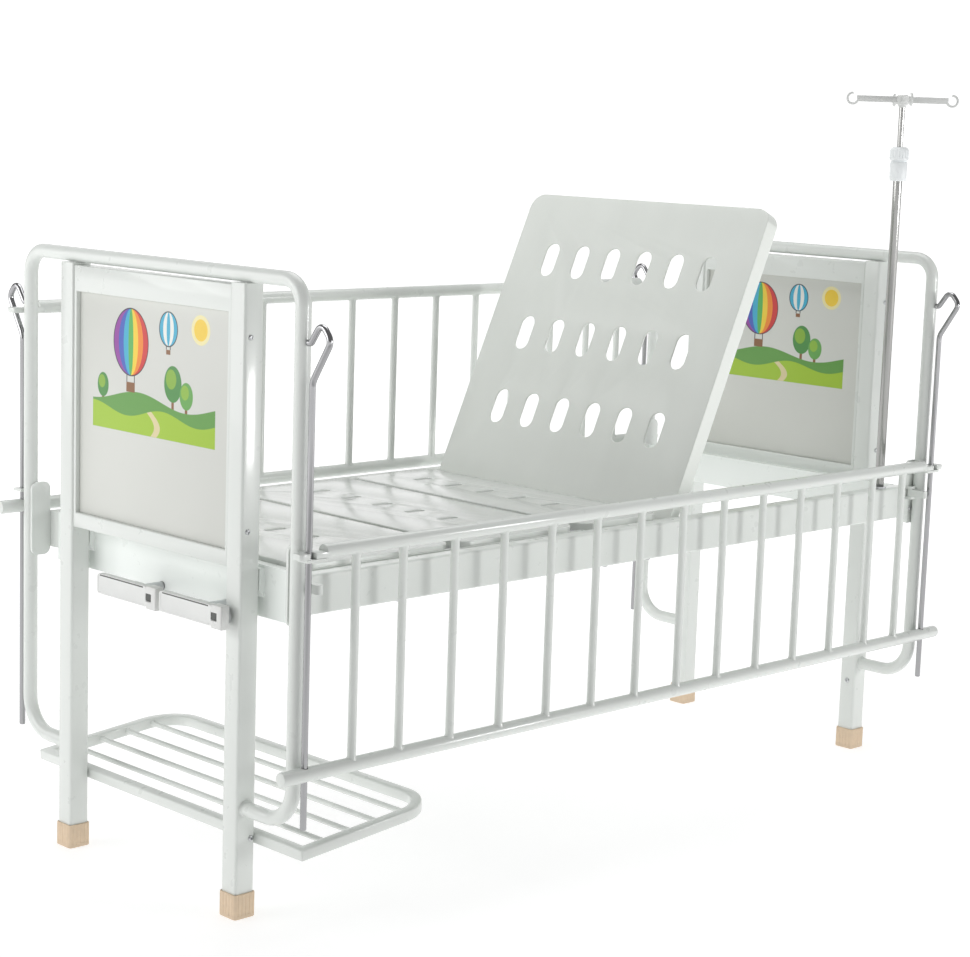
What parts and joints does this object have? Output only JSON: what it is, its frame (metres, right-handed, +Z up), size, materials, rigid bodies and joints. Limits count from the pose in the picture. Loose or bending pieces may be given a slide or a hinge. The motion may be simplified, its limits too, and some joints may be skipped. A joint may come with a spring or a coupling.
{
  "type": "pediatric hospital cot",
  "caption": "Children's hospital bed with tubular ends, lifting side rails, hand-cranked back and knee sections, a shoe rack and a telescopic drip pole.",
  "frame": {"origin": "on the floor under the middle of the cot", "axes": "+X from the foot end to the head end, +Y from the near (lowered rail) side to the far side, +Z up"},
  "size_m": [1.832, 0.92, 1.4372],
  "materials": {
    "white_coat": "gloss powder coat",
    "deck_board": "moulded, satin",
    "end_panel": "smooth sheet",
    "foot_cap": "ribbed moulding",
    "chrome": "polished",
    "steel": "zinc plated",
    "grip": "moulded",
    "knuckle": "moulded",
    "collar": "moulded"
  },
  "bodies": {
    "bed_frame": {"leg_foot_near": "white_coat", "foot_cap_foot_near": "foot_cap", "leg_foot_far": "white_coat", "foot_cap_foot_far": "foot_cap", "loop_foot": "white_coat", "board_foot": "white_coat", "panel_foot": "end_panel", "leg_head_near": "white_coat", "foot_cap_head_near": "foot_cap", "leg_head_far": "white_coat", "foot_cap_head_far": "foot_cap", "loop_head": "white_coat", "board_head": "white_coat", "panel_head": "end_panel", "side_member_near": "white_coat", "side_member_far": "white_coat", "beam_foot": "white_coat", "beam_head": "white_coat", "cross_member_1": "white_coat", "cross_member_2": "white_coat", "drive_hanger": "white_coat", "back_pivot_rod": "steel", "thigh_pivot_rod": "steel", "seat_panel": "deck_board", "guide_rod_foot_near": "chrome", "corner_plate_foot_near": "white_coat", "guide_rod_foot_far": "chrome", "corner_plate_foot_far": "white_coat", "guide_rod_head_near": "chrome", "corner_plate_head_near": "white_coat", "guide_rod_head_far": "chrome", "corner_plate_head_far": "white_coat", "shoe_rack": "white_coat", "pole_socket": "steel"},
    "near_rail": {"rail_near": "white_coat"},
    "far_rail": {"rail_far": "white_coat"},
    "near_foot_catch": {"rail_catch_foot_near": "white_coat"},
    "far_foot_catch": {"rail_catch_foot_far": "white_coat"},
    "near_head_catch": {"rail_catch_head_near": "white_coat"},
    "far_head_catch": {"rail_catch_head_far": "white_coat"},
    "backrest": {"back_panel": "deck_board", "back_frame": "white_coat"},
    "back_push_tube": {"back_drive": "steel"},
    "back_crank": {"back_screw": "steel", "back_knuckle": "knuckle"},
    "back_handle": {"back_grip": "grip"},
    "thigh_rest": {"thigh_panel": "deck_board", "thigh_frame": "white_coat", "knee_rod": "steel"},
    "leg_rest": {"leg_panel": "deck_board", "leg_frame": "white_coat"},
    "thigh_push_tube": {"thigh_drive": "steel"},
    "thigh_crank": {"thigh_screw": "steel", "thigh_knuckle": "knuckle"},
    "thigh_handle": {"thigh_grip": "grip"},
    "pole": {"pole_tube": "chrome", "pole_collar": "collar"},
    "pole_lock": {"pole_clamp": "collar"},
    "mast": {"pole_mast": "chrome"}
  },
  "joints": [
    {"name": "near_rail_lift", "type": "slide", "parent": "bed_frame", "child": "near_rail", "axis": [0, 0, 1], "range_m": [0, 0.328]},
    {"name": "far_rail_lift", "type": "slide", "parent": "bed_frame", "child": "far_rail", "axis": [0, 0, 1], "range_m": [-0.328, 0]},
    {"name": "near_foot_catch_swing", "type": "hinge", "parent": "bed_frame", "child": "near_foot_catch", "pos_m": [-0.8435, -0.3822, 0.5947], "axis": [0, 0, 1], "range_deg": [0, 80], "stiffness_Nm_per_rad": 0.05, "springref_deg": -11.46},
    {"name": "far_foot_catch_swing", "type": "hinge", "parent": "bed_frame", "child": "far_foot_catch", "pos_m": [-0.8435, 0.3822, 0.5947], "axis": [0, 0, -1], "range_deg": [0, 80], "stiffness_Nm_per_rad": 0.05, "springref_deg": -11.46},
    {"name": "near_head_catch_swing", "type": "hinge", "parent": "bed_frame", "child": "near_head_catch", "pos_m": [0.8435, -0.3822, 0.5947], "axis": [0, 0, -1], "range_deg": [0, 80], "stiffness_Nm_per_rad": 0.05, "springref_deg": -11.46},
    {"name": "far_head_catch_swing", "type": "hinge", "parent": "bed_frame", "child": "far_head_catch", "pos_m": [0.8435, 0.3822, 0.5947], "axis": [0, 0, 1], "range_deg": [0, 80], "stiffness_Nm_per_rad": 0.05, "springref_deg": -11.46},
    {"name": "backrest_tilt", "type": "hinge", "parent": "bed_frame", "child": "backrest", "pos_m": [0.148, 0, 0.58], "axis": [0, -1, 0], "range_deg": [-65.9, 9.1]},
    {"name": "back_push", "type": "slide", "parent": "bed_frame", "child": "back_push_tube", "axis": [1, 0, 0], "range_m": [-0.0673, 0.0097]},
    {"name": "back_crank_turn", "type": "hinge", "parent": "bed_frame", "child": "back_crank", "pos_m": [-0.8895, 0.02, 0.525], "axis": [1, 0, 0], "range_deg": [-2009.75, 281.83]},
    {"name": "back_handle_fold", "type": "hinge", "parent": "back_crank", "child": "back_handle", "pos_m": [-0.9058, -0.05, 0.525], "axis": [0, 0, 1], "range_deg": [0, 90]},
    {"name": "thigh_tilt", "type": "hinge", "parent": "bed_frame", "child": "thigh_rest", "pos_m": [-0.135, 0, 0.598], "axis": [0, 1, 0], "range_deg": [0, 35]},
    {"name": "leg_fold", "type": "hinge", "parent": "thigh_rest", "child": "leg_rest", "pos_m": [-0.452, 0, 0.598], "axis": [0, -1, 0], "range_deg": [-0.2, 68.62]},
    {"name": "thigh_push", "type": "slide", "parent": "bed_frame", "child": "thigh_push_tube", "axis": [1, 0, 0], "range_m": [-0.0454, 0.0005]},
    {"name": "thigh_crank_turn", "type": "hinge", "parent": "bed_frame", "child": "thigh_crank", "pos_m": [-0.8895, -0.163, 0.525], "axis": [1, 0, 0], "range_deg": [-1353.24, 5]},
    {"name": "thigh_handle_fold", "type": "hinge", "parent": "thigh_crank", "child": "thigh_handle", "pos_m": [-0.9058, -0.233, 0.525], "axis": [0, 0, 1], "range_deg": [0, 90]},
    {"name": "pole_turn", "type": "hinge", "parent": "bed_frame", "child": "pole", "pos_m": [0.76, -0.359, 0.6], "axis": [0, 0, 1], "continuous": true},
    {"name": "pole_lock_twist", "type": "hinge", "parent": "pole", "child": "pole_lock", "pos_m": [0.76, -0.359, 1.313], "axis": [0, 0, 1], "range_deg": [0, 90]},
    {"name": "mast_lift", "type": "slide", "parent": "pole", "child": "mast", "axis": [0, 0, 1], "range_m": [-0.07, 0.36]}
  ],
  "couplings": [
    {"joint": "back_push", "follows": "backrest_tilt", "m_per_rad": 0.0581},
    {"joint": "back_crank_turn", "follows": "backrest_tilt", "ratio": 30.421},
    {"joint": "leg_fold", "follows": "thigh_tilt", "ratio": 1.955},
    {"joint": "thigh_push", "follows": "thigh_tilt", "m_per_rad": -0.07357},
    {"joint": "thigh_crank_turn", "follows": "thigh_tilt", "ratio": -38.521}
  ]
}
